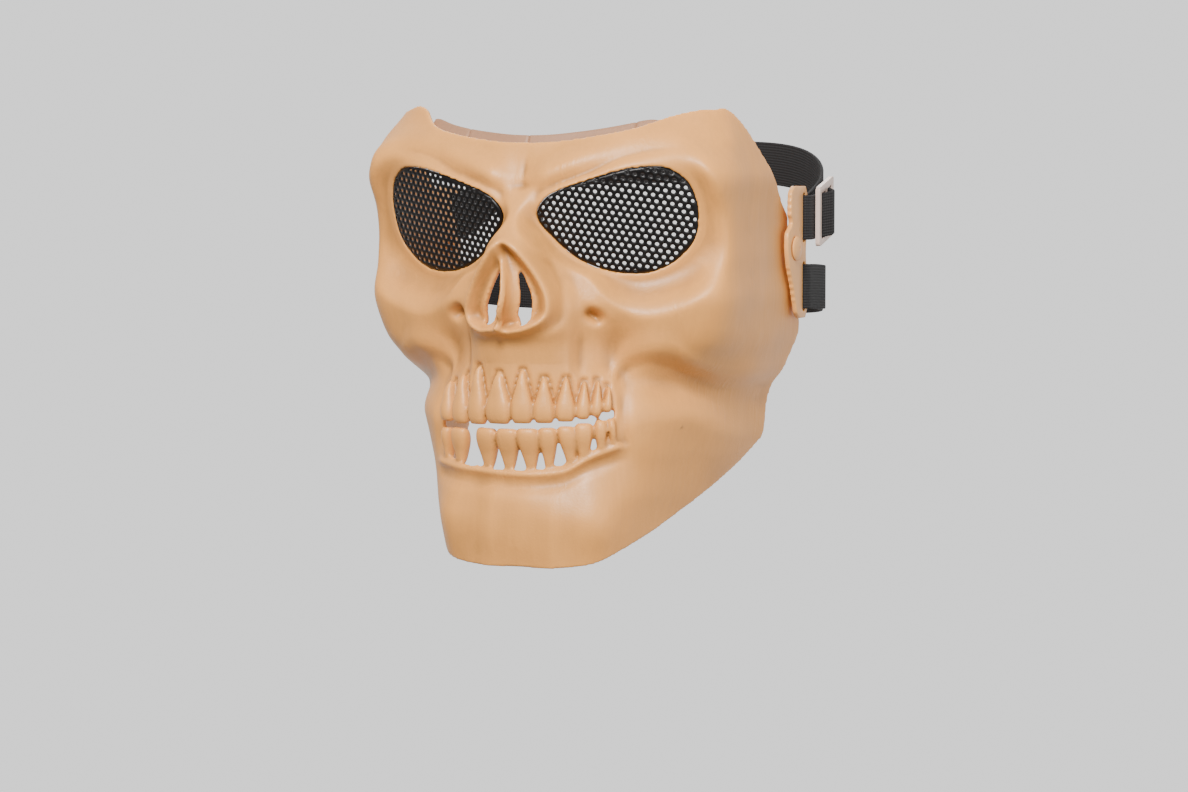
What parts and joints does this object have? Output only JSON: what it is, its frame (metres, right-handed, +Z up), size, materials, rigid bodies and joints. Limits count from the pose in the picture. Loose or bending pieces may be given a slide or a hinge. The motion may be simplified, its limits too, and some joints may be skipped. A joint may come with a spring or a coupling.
{
  "type": "skull mask",
  "caption": "Rigid skull face mask with perforated eye plates, bared teeth, slotted side brackets and elastic straps round the back of the head.",
  "frame": {"origin": "inside face of the brow, on the middle line between the eyes, where the mask bears on the wearer", "axes": "+Z up, the face looks along -Y, +X towards the wearer's left"},
  "size_m": [0.2053, 0.2346, 0.2168],
  "materials": {
    "bone_plastic": "satin moulded plastic",
    "trim_plastic": "satin moulded plastic",
    "black_mesh": "satin black paint",
    "bracket_plastic": "semi-gloss moulded plastic",
    "webbing": "woven elastic",
    "slide_plastic": "semi-gloss moulded plastic"
  },
  "bodies": {
    "root": {"shell": "bone_plastic", "brow_trim": "trim_plastic", "eye_mesh_left": "black_mesh", "eye_mesh_right": "black_mesh", "strap_bracket_left": "bracket_plastic", "strap_bracket_right": "bracket_plastic", "bracket_rivet_left": "bracket_plastic", "bracket_rivet_right": "bracket_plastic", "upper_strap": "webbing", "lower_strap": "webbing", "strap_slide": "slide_plastic"}
  },
  "joints": []
}
